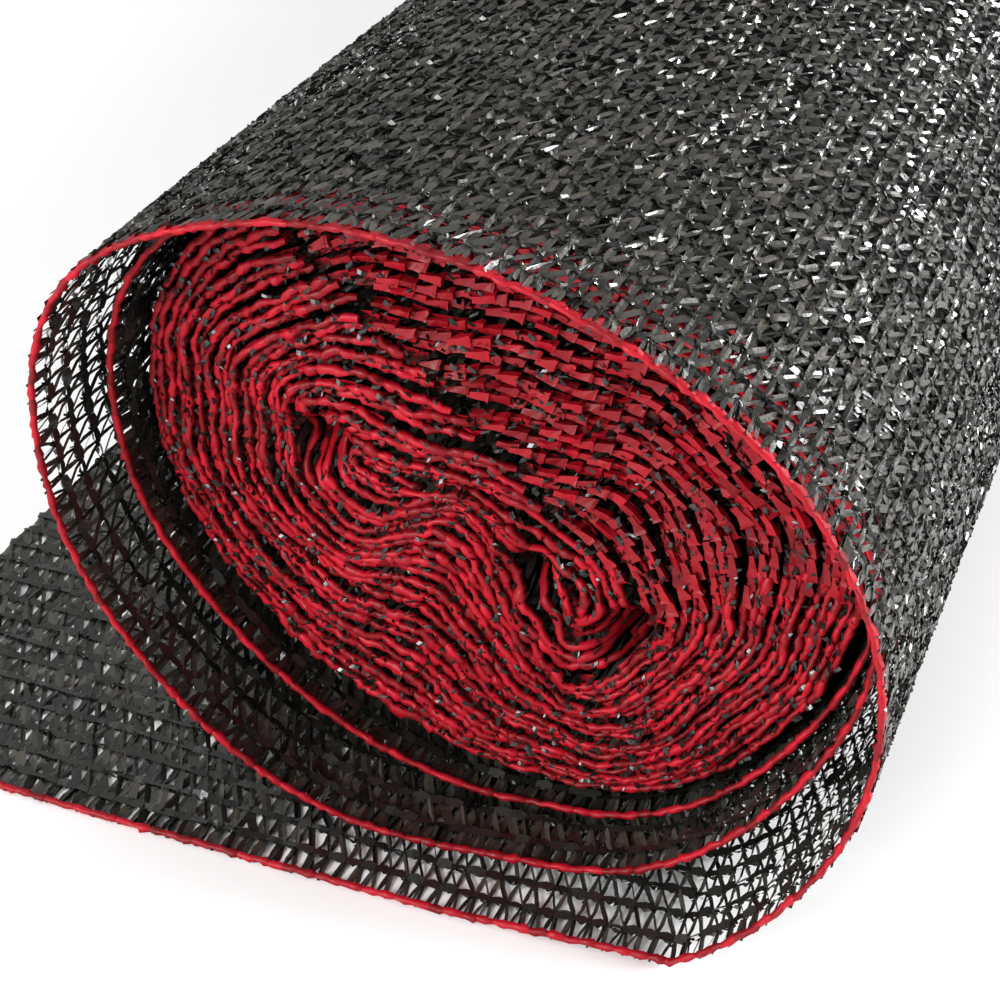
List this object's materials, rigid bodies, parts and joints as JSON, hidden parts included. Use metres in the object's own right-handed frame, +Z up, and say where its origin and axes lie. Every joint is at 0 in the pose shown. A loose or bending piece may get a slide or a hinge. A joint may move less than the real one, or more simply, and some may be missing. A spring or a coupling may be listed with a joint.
{
  "type": "shade cloth roll",
  "caption": "Roll of knitted tape shade cloth lying on its side, oval and tightly wound, with loose outer turns, a flat loose end and a contrasting knitted selvedge.",
  "frame": {"origin": "middle of the underside of the whole roll, on the surface that it lies on", "axes": "+Z up, +Y along the roll away from its near end, -X towards the flat loose end"},
  "size_m": [0.2788, 1.0494, 0.1735],
  "materials": {
    "knitted_tape": "openwork knitted from glossy flat plastic tape",
    "selvedge_tape": "satin folded tape stitches along both edges"
  },
  "bodies": {
    "root": {"wound_roll": "knitted_tape", "loose_turns": "knitted_tape"}
  },
  "joints": []
}
